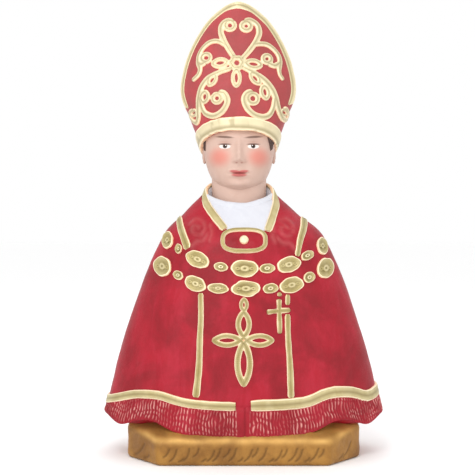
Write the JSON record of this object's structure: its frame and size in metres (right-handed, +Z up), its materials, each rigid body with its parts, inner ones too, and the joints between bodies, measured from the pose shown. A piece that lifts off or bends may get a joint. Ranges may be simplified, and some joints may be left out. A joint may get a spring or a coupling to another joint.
{
  "type": "ceramic saint bust",
  "caption": "Half-length bust of a bishop saint in mitre and fringed red cape with gold chain and pendant cross, cast in one with a low plinth, in painted ceramic.",
  "frame": {"origin": "on the flat underside, midway between the plinth's sides and 2 mm behind the middle of its depth", "axes": "+Z up, the figure faces -Y, +X to the right seen from the front"},
  "size_m": [0.1242, 0.0623, 0.1998],
  "materials": {
    "painted_ceramic": "matt to satin paint over fired clay: red cape and mitre, pale gold relief, bronze-gold plinth"
  },
  "bodies": {
    "root": {"saint_bust": "painted_ceramic"}
  },
  "joints": []
}
